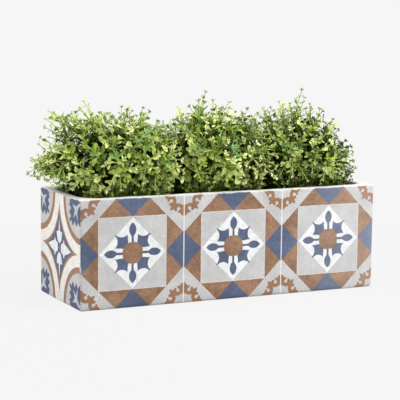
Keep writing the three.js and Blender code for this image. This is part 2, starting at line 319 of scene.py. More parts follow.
class Surface:
    """A material in the making: one shader and the fields that colour it."""

    def __init__(self, name, roughness, specular=0.5):
        self.material = bpy.data.materials.new(name)
        self.material.use_nodes = True
        self.tree = self.material.node_tree
        self.shader = self.tree.nodes["Principled BSDF"]
        self.shader.inputs["Specular IOR Level"].default_value = specular
        self.shader.inputs["Roughness"].default_value = roughness
        self.place = add_node(self.tree, "ShaderNodeTexCoord").outputs["Object"]

    def axes(self):
        return split(self.tree, self.place)

    def cloud(self, scale, detail=3.0, rough=0.55):
        """Soft noise around 0.5."""
        node = add_node(self.tree, "ShaderNodeTexNoise", {
            "Vector": self.place, "Scale": scale, "Detail": detail, "Roughness": rough,
        })
        return Field(self.tree, node.outputs["Fac"])

    def shifts(self, scale):
        """Three separate soft noises around nothing, for shaky edges."""
        noises = {"Vector": self.place, "Scale": scale, "Detail": 1.0}
        node = add_node(self.tree, "ShaderNodeTexNoise", noises)
        parts = add_node(self.tree, "ShaderNodeSeparateColor", {0: node.outputs["Color"]})
        return [Field(self.tree, socket) - 0.5 for socket in parts.outputs]

    def cells(self, scale):
        """Distance to the nearest of many scattered points."""
        node = add_node(self.tree, "ShaderNodeTexVoronoi", {"Vector": self.place, "Scale": scale})
        return Field(self.tree, node.outputs["Distance"])

    def attribute(self, name):
        node = add_node(self.tree, "ShaderNodeAttribute", attribute_name=name)
        return Field(self.tree, node.outputs["Fac"])

    def mix(self, under, over, mask):
        node = add_node(self.tree, "ShaderNodeMix", {0: mask, 6: under, 7: over}, data_type="RGBA")
        return node.outputs[2]

    def layered(self, colour, layers):
        """A colour with others laid over it in turn, each as far as its mask says."""
        for over, mask in layers:
            colour = self.mix(colour, over, mask)
        return colour

    def shade(self, colour, amount):
        """A colour made lighter or darker by a field around 1."""
        node = add_node(self.tree, "ShaderNodeVectorMath", {0: colour, "Scale": amount}, operation="SCALE")
        return node.outputs[0]

    def finish(self, colour, roughness=None, height=None, depth=0.001):
        plug_in(self.tree, colour, self.shader.inputs["Base Color"])
        if roughness is not None:
            plug_in(self.tree, roughness, self.shader.inputs["Roughness"])
        if height is not None:
            bump = add_node(self.tree, "ShaderNodeBump", {
                "Height": height, "Distance": depth, "Strength": 1.0,
            })
            self.tree.links.new(bump.outputs[0], self.shader.inputs["Normal"])
        return self.material


# The print. Both tiles are drawn in tile units, from -0.5 to 0.5 both ways


def corner_scroll(far, near):
    """Brown scroll in a tile's corner, as a distance. far and near are the larger and smaller offsets."""
    out = (far + near) * (-1 / math.sqrt(2)) + 1 / math.sqrt(2)
    along = (far - near) * (1 / math.sqrt(2))
    upper = along.profile((
        (0, 0.188), (0.0075, 0.181), (0.018, 0.156), (0.0424, 0.159), (0.059, 0.152), (0.0764, 0.149),
        (0.088, 0.138), (0.134, 0.139), (0.2, 0.139),
    ), 0.2, 0.2)
    lower = along.profile(((0, 0.103), (0.0219, 0.0785), (0.0622, 0.0622), (0.064, 0), (0.2, 0)), 0.2, 0.2)
    scroll = (out - upper).most(lower - out).most(along - 0.134)
    eye = 0.016 - along.from_point(out, 0.052, 0.1195)
    slot = (0.007 - abs(along - 0.058)).least(out - 0.12)
    return scroll.most(eye).most(slot)


def front_tile(surface, u, v, grey, brown, blue):
    """Blue and brown triangles round a grey square that holds a white diamond and a flower."""
    width = abs(u)
    height = abs(v)
    far = width.most(height)
    near = width.least(height)
    total = far + near
    third = 1 / 3
    seam = (abs(total - 2 * third) - 0.0015).most(far - near - third)
    radius = width.from_point(height, 0, 0)
    shield = (far * 0.095 + 0.035 - near).most(total - 0.242 * math.sqrt(2)).most(far - 0.185)
    shield = shield.most(0.076 - far.from_point(near, 0.224, 0.107))
    stalk = (near - 0.011).most(far - 0.17)
    head = far.from_point(near, 0.213, -0.0418) - 0.0773
    disc = (radius - 0.102).most(total * (1 / math.sqrt(2)) - 0.099).most(far - 0.097)
    return surface.layered(grey, (
        (TERRACOTTA, corner_scroll(far, near).inside()),
        (brown, (third - far).most(total - 2 * third).inside()),
        (CREAM, seam.inside() * 0.7),
        (blue, (0.33 - (far - near)).inside()),
        (CREAM, (far - third).inside() * 0.85),
        (grey, (far - (third - 0.004)).inside()),
        (TILE_WHITE, (total - 0.327).inside()),
        (blue, shield.least(stalk).least(head).inside()),
        (brown, disc.inside()),
    ))


def brush_stroke(side, end, start, stop, half):
    """A straight stroke between two points that thins to nothing at its far end, as a distance."""
    run = stop[0] - start[0]
    rise = stop[1] - start[1]
    length = math.hypot(run, rise)
    from_side = side - start[0]
    from_end = end - start[1]
    along = from_side * (run / length) + from_end * (rise / length)
    across = from_side * (rise / length) - from_end * (run / length)
    taper = along * (half / length) + abs(across) - half
    return taper.most(-along)


def leaf_bunch(side, end):
    """Blue leaves in an end tile's corner, as a distance. side and end are offsets from the tile's edges."""
    jags = abs((side * (1 / 0.082) + 0.5).fraction() - 0.5) * 2
    lobes = abs((end * (1 / 0.07) + 0.15).fraction() - 0.5) * 2
    body = (side - 0.21 - lobes * 0.045).most(0.045 - end).most(end - 0.197 - (1 - jags) * 0.055)
    top = (side * 0.27).from_point(end, 0.031, 0.031) - 0.034
    centre = (0.088, 0.094)
    lily = brush_stroke(side, end, centre, (-0.05, -0.012), 0.026)
    for tip, half in (((0.178, 0.05), 0.03), ((0.16, 0.175), 0.028), ((0.052, 0.2), 0.022)):
        lily = lily.least(brush_stroke(side, end, centre, tip, half))
    return body.least(top).most(-lily)


def end_tile(surface, h, v, grey):
    """A blue star between four corner rounds, with a white flower in its middle."""
    width = abs(h)
    height = abs(v)
    corner = width.from_point(height, 0.5, 0.5)
    upright = height.profile((
        (0, 0), (0.037, 0), (0.07, 0.045), (0.1, 0.057), (0.15, 0.066),
        (0.153, 0.022), (0.156, 0.016), (0.2, 0.012), (0.275, 0), (0.5, 0),
    ), 0.5, 0.1)
    level = width.profile((
        (0, 0), (0.036, 0), (0.042, 0.036), (0.09, 0.056), (0.113, 0.09),
        (0.13, 0.052), (0.2, 0.032), (0.28, 0), (0.5, 0),
    ), 0.5, 0.1)
    petals = (width - upright).least(height - level)
    return surface.layered(CREAM, (
        (BROWN, (abs(corner - 0.37) - 0.028).inside()),
        (grey, (corner - 0.342).inside()),
        (BROWN, (0.504 - corner).inside()),
        (BLUE, (0.532 - corner).inside()),
        (TILE_WHITE, petals.inside()),
        (BLUE, leaf_bunch(0.5 - width, 0.5 - height).inside()),
    ))


def printed_cement():
    """Cement with the front tile on both long sides and the end tile on both ends, worn, and painted lighter
    towards the right end.
    """
    surface = Surface("printed_cement", 0.8, 0.35)
    x, y, z = surface.axes()
    shifts = surface.shifts(90)
    shaky_x, shaky_y, shaky_z = [axis + shift * PRINT_SHAKE for axis, shift in zip((x, y, z), shifts)]
    mottle = surface.cloud(26, 6.0, 0.62).between(0.36, 0.64)
    stain = surface.cloud(90, 5.0, 0.7).between(0.34, 0.66)
    fleck = surface.cloud(330, 3.0, 0.6).between(0.3, 0.7)
    blotch = surface.cloud(150, 6.0, 0.78).between(0.32, 0.68)
    grey = surface.mix(screen(210, 209, 207), screen(171, 172, 174), mottle * 0.55 + stain * 0.35)
    brown = surface.mix(screen(116, 85, 61), screen(170, 133, 106), blotch * 0.6 + mottle * 0.4)
    # Besides its own mottle, the blue is painted lighter towards the right end, where more light falls
    blue = surface.mix(screen(79, 89, 115), screen(104, 122, 149), mottle * 0.3 + x.between(0.1, 0.3) * 0.4)
    tile_u = ((shaky_x * (1 / TILE) + 0.5).fraction() - 0.5) * (TILE / TILE_PRINT_WIDTH)
    tile_v = (shaky_z - TROUGH_HEIGHT / 2) * (1 / PRINT_HEIGHT)
    long_print = front_tile(surface, tile_u, tile_v, grey, brown, blue)
    joint = abs(abs(x) - TILE / 2) - JOINT_HALF_WIDTH
    long_print = surface.mix(long_print, TILE_WHITE, joint.inside(PRINT_EDGE) * 0.85)
    end_print = end_tile(surface, shaky_y * (1 / TROUGH_DEPTH), tile_v, grey)
    from_long = TROUGH_DEPTH / 2 - abs(y)
    from_end = TROUGH_LENGTH / 2 - abs(x)
    print_colour = surface.mix(end_print, long_print, (from_long - from_end).inside(0.0004))
    print_colour = surface.shade(print_colour, mottle * 0.08 + stain * 0.24 + fleck * 0.24 + 0.72)
    chips = surface.cloud(58, 3.0, 0.6).between(0.66, 0.6).most(abs(from_long - from_end).between(0, 0.004))
    worn = surface.cloud(240, 4.0, 0.75).between(0.58, 0.66) * mottle
    print_colour = surface.mix(print_colour, screen(214, 192, 174), worn * 0.5)
    # Painted light: the print is made paler towards the right end, where more light falls
    print_colour = surface.mix(print_colour, CREAM, x.between(0.1, 0.3) * 0.12)
    above_print = z + shifts[2] * PRINT_TOP_SHAKE - PRINT_TOP
    outside = (from_long.least(from_end) - PRINT_WRAP).most(above_print).most(PRINT_BOTTOM - z)
    bare = surface.shade(BARE_CEMENT, mottle * 0.08 + stain * 0.2 + fleck * 0.12 + 0.76)
    corner_wear = surface.cloud(75, 2.0).between(0.5, 0.56) * from_long.most(from_end).inside(0.0024)
    colour = surface.mix(bare, print_colour, outside.inside(PRINT_EDGE) * chips)
    colour = surface.mix(colour, CREAM, corner_wear)
    pits = surface.cells(330).between(0.16, 0.26)
    height = fleck * 0.25 + surface.cloud(60, 3.0) * 0.6 + pits * 0.25
    return surface.finish(colour, 0.72 + mottle * 0.15, height, 0.0006)


def pot_plastic():
    surface = Surface("pot_plastic", 0.5)
    dust = surface.cloud(30, 5.0, 0.6).between(0.5, 0.8)
    grain = surface.cloud(900, 1.0)
    colour = surface.mix(screen(44, 42, 40), screen(84, 74, 62), dust * 0.7)
    return surface.finish(colour, 0.45 + dust * 0.35, grain, 0.0002)


def plug_rubber():
    surface = Surface("plug_rubber", 0.7)
    bloom = surface.cloud(160, 4.0).between(0.4, 0.75)
    colour = surface.mix(screen(38, 38, 39), screen(66, 65, 64), bloom)
    return surface.finish(colour, 0.6 + bloom * 0.25, surface.cloud(1200, 2.0), 0.00015)


def potting_soil():
    surface = Surface("potting_soil", 0.95, 0.2)
    crumbs = surface.cells(260)
    damp = surface.cloud(40, 5.0)
    colour = surface.mix(screen(36, 26, 19), screen(94, 70, 48), crumbs.between(0.2, 0.7) * damp)
    return surface.finish(colour, None, crumbs * 0.7 + surface.cloud(500, 3.0) * 0.4, 0.002)


def crown_light(surface):
    """Painted shade: 1 at the outside of the crowns and less towards their sheltered middle, painted lighter
    where two crowns meet and a little darker towards the right.
    """
    x, y, z = surface.axes()
    past_end = (abs(x) - 0.27).most(0.0) * (1 / 0.05)
    high = (z - 0.225) * (1 / 0.115)
    deep = y * (1 / 0.09)
    # Painted light on the leaves beside the gap where two crowns meet, set against that gap's shade
    meeting = abs(abs(x) - POT_SPACING / 2).between(0.035, 0.005) * 0.35
    # The last term is painted shade that darkens the crowns towards the right
    outer = deep * deep + high * high + past_end * past_end + meeting - x.between(-0.1, 0.1) * 0.17
    return outer.between(0.2, 0.85) * 0.86 + 0.14


def leaf_green():
    """Young leaves near a tip are pale yellow-green and old ones dark, and painted shade darkens those deep
    in the crown.
    """
    surface = Surface("leaf_green", 0.42, 0.03)
    young = surface.attribute("tip_distance").between(0.06, 0.008)
    twig = surface.attribute("twig_tint")
    own = surface.attribute("leaf_tint")
    pale = young * twig.between(0.8, 0.3) * (surface.cloud(14, 1.0).between(0.35, 0.6) * 0.55 + 0.4)
    midrib = surface.attribute("leaf_across").between(0.3, 0.0)
    colour = surface.layered(screen(58, 94, 0), (
        (screen(160, 186, 54), own),
        (screen(112, 152, 92), twig.between(0.84, 0.96)),
        (screen(238, 244, 166), pale),
        (screen(205, 218, 142), midrib * 0.4),
    ))
    colour = surface.shade(colour, surface.attribute("leaf_along") * 0.25 + 0.85)
    # Painted shade: leaves deep in the crown are mixed towards a dark green
    colour = surface.mix(PAINTED_SHADE_GREEN, colour, crown_light(surface))
    return surface.finish(colour, 0.36 + own * 0.2)


def stem_green():
    """Stems are pale green near a tip, and painted shade darkens them deep in the crown."""
    surface = Surface("stem_green", 0.55)
    young = surface.attribute("tip_distance").between(0.14, 0.02)
    bark = surface.cloud(300, 3.0)
    colour = surface.mix(screen(90, 98, 36), screen(174, 194, 98), young)
    # Painted shade: stems deep in the crown are mixed towards a dark green
    colour = surface.mix(PAINTED_SHADE_GREEN, surface.shade(colour, bark * 0.4 + 0.8), crown_light(surface))
    return surface.finish(colour, None, bark, 0.0003)


# Shapes


def scatter(number, use):
    """A repeatable share from 0 to 1 for each whole number and each use."""
    wave = math.sin(number * 127.1 + use * 311.7) * 43758.5453
    return wave - math.floor(wave)


def rounded_ring(length, depth, radius, z, steps=(LONG_SIDE_STEPS, SHORT_SIDE_STEPS)):
    """A rectangle with round corners as points, anticlockwise. Steps are for its long and short sides."""
    arcs = []
    for quarter, (side_x, side_y) in enumerate(((1, 1), (-1, 1), (-1, -1), (1, -1))):
        centre = Vector((side_x * (length / 2 - radius), side_y * (depth / 2 - radius), z))
        arc = []
        for step in range(CORNER_STEPS + 1):
            angle = (quarter + step / CORNER_STEPS) * math.pi / 2
            arc.append(centre + Vector((math.cos(angle), math.sin(angle), 0)) * radius)
        arcs.append(arc)
    points = []
    for quarter, arc in enumerate(arcs):
        points.extend(arc)
        after = arcs[(quarter + 1) % 4][0]
        count = steps[quarter % 2]
        points.extend(arc[-1].lerp(after, step / count) for step in range(1, count))
    return points


def skin(rings):
    """A closed shape over a row of rings with equal point counts, flat at both ends."""
    shape = bmesh.new()
    rows = [[shape.verts.new(point) for point in ring] for ring in rings]
    for row, following in zip(rows, rows[1:]):
        for i, vertex in enumerate(row):
            j = (i + 1) % len(row)
            shape.faces.new((vertex, row[j], following[j], following[i]))
    shape.faces.new(reversed(rows[0]))
    shape.faces.new(rows[-1])
    return shape


def turned(profile, sides):
    """A closed shape of revolution about Z. The profile runs from the bottom of the axis to its top."""
    shape = bmesh.new()
    rows = []
    for radius, z in profile:
        if radius == 0:
            rows.append([shape.verts.new((0, 0, z))])
            continue
        angles = [i / sides * 2 * math.pi for i in range(sides)]
        rows.append([shape.verts.new((radius * math.cos(a), radius * math.sin(a), z)) for a in angles])
    for row, following in zip(rows, rows[1:]):
        for i in range(sides):
            j = (i + 1) % sides
            lower = [row[i % len(row)], row[j % len(row)]]
            upper = [following[j % len(following)], following[i % len(following)]]
            shape.faces.new(list(dict.fromkeys(lower + upper)))
    return shape


def placed(name, data):
    """A new object in the scene."""
    thing = bpy.data.objects.new(name, data)
    bpy.context.scene.collection.objects.link(thing)
    return thing


def make_object(name, shape, material=None, sharp=40):
    """An object from a shape, smooth but for edges over an angle."""
    mesh = bpy.data.meshes.new(name)
    shape.to_mesh(mesh)
    shape.free()
    piece = placed(name, mesh)
    smooth(mesh, sharp)
    if material:
        mesh.materials.append(material)
    return piece


def smooth(mesh, sharp):
    mesh.shade_smooth()
    mesh.set_sharp_from_angle(angle=math.radians(sharp))


def settled(piece):
    """Replaces a piece's mesh by what its modifiers make of it, and takes them off."""
    depsgraph = bpy.context.evaluated_depsgraph_get()
    mesh = bpy.data.meshes.new_from_object(
        piece.evaluated_get(depsgraph), preserve_all_data_layers=True, depsgraph=depsgraph,
    )
    piece.modifiers.clear()
    piece.data = mesh
    mesh.name = piece.name
    return mesh


def cut(piece, cutters, material):
    """Takes the cutters' shapes out of a piece, removes the cutters and gives the piece its material."""
    for number, cutter in enumerate(cutters):
        modifier = piece.modifiers.new(f"cut_{number}", "BOOLEAN")
        modifier.operation = "DIFFERENCE"
        modifier.solver = "EXACT"
        modifier.object = cutter
    settled(piece)
    for cutter in cutters:
        bpy.data.objects.remove(cutter)
    piece.data.materials.clear()
    piece.data.materials.append(material)
    smooth(piece.data, CUT_SHARP_ANGLE)


def dress(piece, body, node):
    """Hands a finished piece to the frame."""
    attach(piece, body)
    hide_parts(node)


# The trough


def quarter_steps():
    return [step / EDGE_STEPS * math.pi / 2 for step in range(EDGE_STEPS + 1)]


def trough_rings():
    """Rings from the base up the outside, over the rim and down the inside to the floor."""
    rings = []

    def outer(inset, z):
        radius = max(OUTER_CORNER - inset, 0.0012)
        rings.append(rounded_ring(TROUGH_LENGTH - 2 * inset, TROUGH_DEPTH - 2 * inset, radius, z))

    def inner(inset, z):
        total = WALL + inset
        radius = INNER_CORNER - inset
        rings.append(rounded_ring(TROUGH_LENGTH - 2 * total, TROUGH_DEPTH - 2 * total, radius, z))

    for angle in quarter_steps():
        outer(BOTTOM_EDGE * (1 - math.sin(angle)), BOTTOM_EDGE * (1 - math.cos(angle)))
    wall_top = TROUGH_HEIGHT - RIM_EDGE
    for step in range(1, WALL_STEPS):
        outer(0, BOTTOM_EDGE + (wall_top - BOTTOM_EDGE) * step / WALL_STEPS)
    for angle in quarter_steps():
        outer(RIM_EDGE * (1 - math.cos(angle)), wall_top + RIM_EDGE * math.sin(angle))
    for angle in quarter_steps():
        inner(-RIM_EDGE * (1 - math.sin(angle)), wall_top + RIM_EDGE * math.cos(angle))
    fillet_top = FLOOR + FLOOR_FILLET
    for step in range(1, WALL_STEPS):
        inner(0, wall_top + (fillet_top - wall_top) * step / WALL_STEPS)
    for angle in quarter_steps():
        inner(FLOOR_FILLET * (1 - math.cos(angle)), fillet_top - FLOOR_FILLET * math.sin(angle))
    return rings


def hand_cast(point):
    """The slight unevenness of a cast wall, which fades out at the base and the floor."""
    share = min(max((point.z - FLOOR - FLOOR_FILLET) / 0.02, 0), 1)
    wave = noise.noise_vector(point * 18) + noise.noise_vector(point * 55) * 0.4
    return point + wave * HAND_CAST_WAVE * share


def pocket_cutter(side):
    """A shallow pocket in the trough's underside."""
    length = TROUGH_LENGTH / 2 - LAND - MIDDLE_LAND / 2
    middle = Vector((side * (MIDDLE_LAND / 2 + length / 2), 0, 0))
    rings = []
    for inset, z in ((0, -CUTTER_REACH), (0, POCKET_DEPTH - POCKET_EDGE), (POCKET_EDGE, POCKET_DEPTH)):
        depth = TROUGH_DEPTH - 2 * LAND - 2 * inset
        ring = rounded_ring(length - 2 * inset, depth, POCKET_CORNER - inset, z, (2, 2))
        rings.append([point + middle for point in ring])
    return make_object("pocket_cutter", skin(rings))


def drain_cutter(side):
    """A drain hole with a slightly worn upper edge."""
    worn = DRAIN_RADIUS + DRAIN_WEAR
    top = FLOOR + CUTTER_REACH
    profile = (
        (0, -CUTTER_REACH), (DRAIN_RADIUS, -CUTTER_REACH), (DRAIN_RADIUS, FLOOR - DRAIN_WEAR),
        (worn, FLOOR), (worn, top), (0, top),
    )
    cutter = make_object("drain_cutter", turned(profile, PLUG_SIDES))
    cutter.data.transform(Matrix.Translation((side * DRAIN_SPACING / 2, 0, 0)))
    return cutter


def make_trough():
    """The trough with its pockets and drain holes. Unseeded, the noise would cast it otherwise each time."""
    noise.seed_set(HAND_CAST_SEED)
    rings = [[hand_cast(point) for point in ring] for ring in trough_rings()]
    trough = make_object("cast_trough", skin(rings))
    cutters = [pocket_cutter(-1), pocket_cutter(1), drain_cutter(-1), drain_cutter(1)]
    cut(trough, cutters, printed_cement())
    dress(trough, "planter", "planter_shell")


def make_plug(side, place, rubber):
    """A rubber bung with a grip on its flange."""
    base = POCKET_DEPTH + PLUG_RECESS
    stem = DRAIN_RADIUS - PLUG_CLEARANCE
    profile = [(0, base), (stem - 0.0021, base), (stem - 0.0015, base + 0.0004)]
    profile.extend(((stem, base + 0.0045), (stem, FLOOR)))
    profile.extend((radius, FLOOR + height) for radius, height in PLUG_TOP)
    plug = make_object(f"rubber_plug_{place}", turned(profile, PLUG_SIDES), rubber)
    plug.data.transform(Matrix.Translation((side * DRAIN_SPACING / 2, 0, 0)))
    dress(plug, f"drain_plug_{place}", f"drain_plug_{place}")


# Pots and soil


def pot_radius(height):
    return POT_BASE_RADIUS + (POT_TOP_RADIUS - POT_BASE_RADIUS) * height / POT_HEIGHT


def hole_cutter(number):
    """One of the holes round a pot's foot."""
    across, reach = POT_HOLE_RADIUS, POT_HOLE_REACH
    profile = ((0, -reach), (across, -reach), (across, reach), (0, reach))
    cutter = make_object("hole_cutter", turned(profile, 20))
    turn = Matrix.Rotation((number + 0.5) / POT_HOLES * 2 * math.pi, 4, "Z")
    lay = Matrix.Translation((POT_BASE_RADIUS, 0, POT_HOLE_HEIGHT)) @ Matrix.Rotation(math.pi / 2, 4, "Y")
    cutter.data.transform(turn @ lay)
    return cutter


def make_pot(x, place, plastic):
    """A thin pot with a turned-out rim, two pressed rings and holes round its foot."""
    height = POT_HEIGHT
    rim = POT_TOP_RADIUS + POT_RIM_OVERHANG
    inside = POT_TOP_RADIUS - POT_WALL
    low = POT_RING_HEIGHT
    profile = (
        (0, 0.003), (0.035, 0.003), (0.0365, 0.0024), (0.038, 0), (0.0508, 0), (0.0517, 0.0004),
        (0.052, 0.0012), (pot_radius(low), low), (pot_radius(low) + 0.0008, low + 0.002),
        (pot_radius(low + 0.004), low + 0.004), (pot_radius(0.096), 0.096),
        (pot_radius(0.098) + 0.0008, 0.098), (pot_radius(0.1), 0.1), (pot_radius(0.1235), 0.1235),
        (pot_radius(0.124) + 0.0006, 0.124), (rim - 0.0012, 0.124), (rim - 0.0006, 0.1243),
        (rim - 0.0002, 0.125), (rim, height - 0.0016), (rim - 0.0003, height - 0.0006),
        (rim - 0.001, height), (inside + 0.0006, height), (inside, height - 0.0006),
        (pot_radius(POT_WALL) - POT_WALL, POT_WALL), (0.0392, POT_WALL), (0.0377, 0.0036), (0.0362, 0.0042),
        (0, 0.0042),
    )
    pot = make_object(f"black_pot_{place}", turned(profile, POT_SIDES))
    cut(pot, [hole_cutter(number) for number in range(POT_HOLES)], plastic)
    pot.data.transform(Matrix.Translation((x, 0, FLOOR)))
    dress(pot, f"potted_plant_{place}", f"nursery_pot_{place}")


def make_root_ball(x, place, soil):
    """Potting soil in the pot's shape with a lumpy top."""
    bottom = 0.0045
    top = SOIL_TOP - FLOOR
    gap = POT_WALL + SOIL_CLEARANCE
    profile = [(0, bottom), (pot_radius(bottom) - gap - 0.003, bottom), (pot_radius(0.0085) - gap, 0.0085)]
    profile.extend((pot_radius(h) - gap, h) for h in (0.03, 0.055, 0.08, 0.105, top - 0.004))
    edge = pot_radius(top) - gap
    for share in (0.05, 0.1, 0.16, 0.22, 0.29, 0.36, 0.44, 0.52, 0.6, 0.68, 0.76, 0.84, 0.92):
        profile.append((edge * (1 - share), top + SOIL_RISE * math.sin(share * math.pi / 2)))
    profile.append((0, top + SOIL_RISE))
    ball = make_object(f"soil_{place}", turned(profile, SOIL_SIDES), soil, 60)
    for vertex in ball.data.vertices:
        if vertex.co.z > top - 0.001:
            vertex.co.z += noise.noise(vertex.co * 90 + Vector((x * 10, 0, 0))) * SOIL_LUMP
    ball.data.transform(Matrix.Translation((x, 0, FLOOR)))
    dress(ball, f"potted_plant_{place}", f"root_ball_{place}")


# Plants


def blend(pair, share):
    return pair[0] + (pair[1] - pair[0]) * share


def crown_point(plant, direction, share):
    """The crown's lumpy surface in one direction from its middle, or a share of the way to it."""
    side = (direction.x + 1) / 2
    spread = plant["spread"][0] if direction.x < 0 else plant["spread"][1]
    rise = CROWN_UNDERSIDE if direction.z < 0 else blend(plant["rise"], side)
    power = blend(plant["squareness"], side)
    bulge = sum(abs(part) ** power for part in direction) ** (-1 / power)
    turns = zip(direction, (plant["lump_turn"], 1, 2))
    wave = sum(math.sin(part * CROWN_LUMP_TURNS + start) for part, start in turns)
    reach = bulge * share * (1 + CROWN_LUMP * wave)
    return Vector((
        plant["x"] + direction.x * spread * reach,
        direction.y * CROWN_HALF_DEPTH * reach,
        CROWN_MIDDLE + direction.z * rise * reach,
    ))


def fan_direction(number, count, lowest, start):
    """Directions spread evenly from straight up down to the lowest rise."""
    rise = 1 - (number + 0.5) / count * (1 - lowest)
    sideways = math.sqrt(max(1 - rise * rise, 0))
    turn = number * GOLDEN_ANGLE + start
    return Vector((sideways * math.cos(turn), sideways * math.sin(turn), rise))


def bow(start, bend, end, count):
    """Points along a bowed line."""
    points = []
    for step in range(count + 1):
        share = step / count
        points.append(start.lerp(bend, share).lerp(bend.lerp(end, share), share))
    return points


def wander(y):
    """How far the line along which two crowns meet strays sideways at a depth."""
    return MEETING_WANDER * math.sin(MEETING_TURNS * y)


def keep_in_bounds(plant, tip):
    """Moves a tip into the plant's own stretch, and lifts it over the rim, more the farther out it is."""
    low = plant["low"] + wander(tip.y) + TIP_MARGIN
    high = plant["high"] + wander(tip.y) - TIP_MARGIN
    tip.x = min(max(tip.x, low), high)
    outside = max(abs(tip.y) - TROUGH_DEPTH / 2, abs(tip.x) - TROUGH_LENGTH / 2) + WALL + 0.012
    lowest = TROUGH_HEIGHT + 0.008 + outside * 0.35 if outside > 0 else SOIL_TOP + 0.02
    tip.z = max(tip.z, lowest)
    return tip


def branches(plant):
    """Main stems from the soil to well inside the crown."""
    lines = []
    for number in range(BRANCHES):
        direction = fan_direction(number, BRANCHES, 0.02, plant["x"] * 9)
        end = crown_point(plant, direction, 0.58 + 0.12 * scatter(number, 3))
        foot_turn = math.atan2(direction.y, direction.x) + 0.5 * (scatter(number, 4) - 0.5)
        foot_reach = 0.004 + 0.014 * scatter(number, 5)
        foot_x = plant["x"] + foot_reach * math.cos(foot_turn)
        foot = Vector((foot_x, foot_reach * math.sin(foot_turn), FOOT_HEIGHT))
        bend_z = foot.z + (end.z - foot.z) * 0.75
        bend = Vector((foot.x * 0.55 + end.x * 0.45, foot.y * 0.55 + end.y * 0.45, bend_z))
        lines.append(bow(foot, bend, end, BRANCH_STEPS))
    return lines


def leader_tips(plant):
    """The tallest shoots, each with shorter ones close by."""
    middle = Vector((plant["x"], 0, CROWN_MIDDLE))
    tips = []
    for number, leader in enumerate(plant["leaders"]):
        tips.append(Vector(leader))
        for companion in range(LEADER_COMPANIONS):
            use = number * LEADER_COMPANIONS + companion
            tip = Vector(leader).lerp(middle, 0.08 + 0.16 * scatter(use, 10))
            tip.x += 0.036 * (scatter(use, 11) - 0.5)
            tip.y += 0.05 * (scatter(use, 12) - 0.5)
            tips.append(tip)
    return tips


def meeting_tips(plant):
    """Arches of tips beside the next plant, where the crowns meet."""
    tips = []
    for edge, inward in ((plant["low"], 1), (plant["high"], -1)):
        if abs(edge) > POT_SPACING:
            continue
        for number in range(MEETING_TWIGS):
            turn = math.pi * (number + 0.5) / MEETING_TWIGS
            reach = 1 - 0.14 * scatter(number, 13)
            y = -math.copysign(MEETING_DEPTH * abs(math.cos(turn)) ** 0.5 * reach, math.cos(turn))
            x = edge + wander(y) + inward * (TIP_MARGIN + 0.02 * scatter(number, 14))
            z = TROUGH_HEIGHT + (MEETING_HEIGHT - TROUGH_HEIGHT) * math.sin(turn) ** 0.5 * reach
            tips.append(Vector((x, y, z)))
    return tips


def twig_tips(plant):
    """Where the twigs end: the tallest ones, those beside the next plant, then outer and inner ones."""
    tips = leader_tips(plant) + meeting_tips(plant)
    for number in range(TWIGS):
        direction = fan_direction(number, TWIGS, LOWEST_TWIG, plant["x"] * 5)
        tips.append(crown_point(plant, direction, 0.93 - 0.2 * scatter(number, 6) ** 1.5))
    for number in range(INNER_TWIGS):
        direction = fan_direction(number, INNER_TWIGS, LOWEST_TWIG, plant["x"] * 5 + 1)
        tips.append(crown_point(plant, direction, 0.5 + 0.24 * scatter(number, 7)))
    return [keep_in_bounds(plant, tip) for tip in tips]


def skirt(plant):
    """Low shoots from the soil that fill the trough's mouth, out to its walls and the next plant."""
    low = max(plant["low"], -TROUGH_LENGTH / 2 + WALL) + SKIRT_MARGIN
    high = min(plant["high"], TROUGH_LENGTH / 2 - WALL) - SKIRT_MARGIN
    deep = TROUGH_DEPTH / 2 - WALL - SKIRT_MARGIN
    lines = []
    for number in range(SKIRT_SHOOTS):
        turn = number / SKIRT_SHOOTS * 2 * math.pi
        across, back = math.cos(turn), math.sin(turn)
        reach = (1 - 0.18 * scatter(number, 8)) / max(abs(across), abs(back))
        x = (low + high) / 2 + across * reach * (high - low) / 2
        tip = Vector((x, back * reach * deep, SKIRT_HEIGHT + SKIRT_SPREAD * scatter(number, 9)))
        foot = Vector((plant["x"] + across * SKIRT_FOOT_REACH, back * SKIRT_FOOT_REACH, FOOT_HEIGHT))
        bend = foot.lerp(tip, 0.55)
        bend.z = foot.z + (tip.z - foot.z) * 0.75
        lines.append(bow(foot, bend, tip, TWIG_STEPS))
    return lines


def twig_line(plant, stems, tip):
    """A twig from the nearest main stem, which it leaves in the stem's own direction, to its tip."""
    middle = Vector((plant["x"], 0, CROWN_MIDDLE - 0.03))
    outward = (tip - middle).normalized()
    parent = max(stems, key=lambda stem: (stem[-1] - middle).normalized().dot(outward))
    reach = (tip - parent[-1]).length
    joint = len(parent) - 2 if reach > 0.05 else len(parent) - 4
    start = parent[joint]
    leaving = (parent[joint + 1] - parent[joint]).normalized()
    length = (tip - start).length
    bend = start + leaving * length * 0.45 + Vector((0, 0, length * 0.06))
    if abs(tip.y) > TROUGH_DEPTH / 2 - WALL and tip.z < TROUGH_HEIGHT + 0.03:
        bend.z = max(bend.z, TROUGH_HEIGHT + 0.03)
    return bow(start, bend, tip, TWIG_STEPS)


def shoots_object(plant, place):
    """All stems of one plant as a curve, each point with its thickness."""
    curve = bpy.data.curves.new(f"shoots_{place}", "CURVE")
    curve.dimensions = "3D"
    stems = branches(plant)
    lines = [(line, BRANCH_THICKNESS) for line in stems]
    lines.extend((twig_line(plant, stems, tip), TWIG_THICKNESS) for tip in twig_tips(plant))
    lines.extend((line, TWIG_THICKNESS) for line in skirt(plant))
    for line, (thick, thin) in lines:
        spline = curve.splines.new("POLY")
        spline.points.add(len(line) - 1)
        for number, point in enumerate(line):
            spline.points[number].co = (*point, 1)
            spline.points[number].radius = thick + (thin - thick) * number / (len(line) - 1)
    return placed(f"shoots_{place}", curve)


